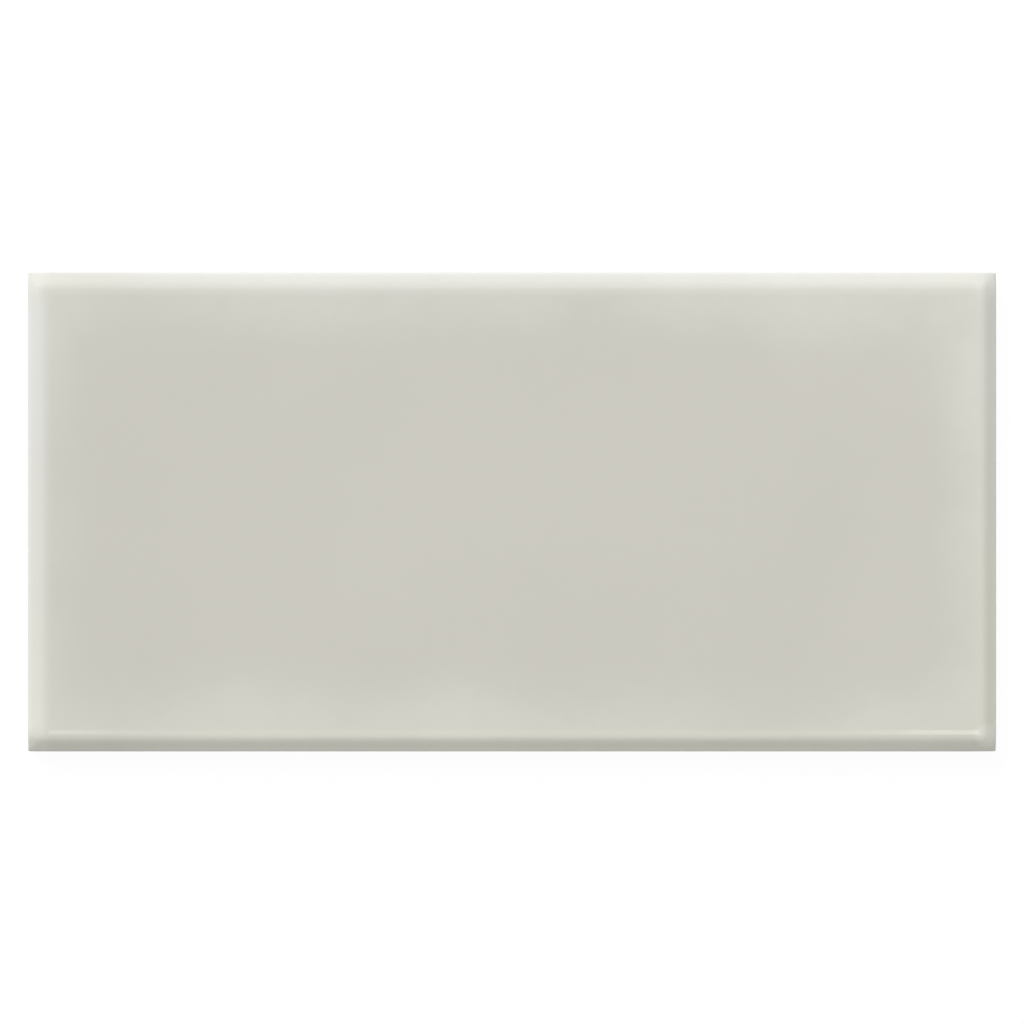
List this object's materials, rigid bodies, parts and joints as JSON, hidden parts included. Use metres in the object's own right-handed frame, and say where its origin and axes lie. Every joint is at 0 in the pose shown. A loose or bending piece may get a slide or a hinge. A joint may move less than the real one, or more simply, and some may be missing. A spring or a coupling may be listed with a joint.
{
  "type": "subway wall tile",
  "caption": "Rectangular ceramic wall tile with a glossy greige glaze, cushion edges on all four sides and a ribbed, pocketed back that keys into mortar.",
  "frame": {"origin": "middle of the back, on the plane of its rim and ribs", "axes": "+X along the length, +Y across the width towards the picture's upper edge, +Z out of the glazed face"},
  "size_m": [0.1508, 0.0746, 0.0079],
  "materials": {
    "glazed_biscuit": "gloss"
  },
  "bodies": {
    "root": {"tile": "glazed_biscuit"}
  },
  "joints": []
}
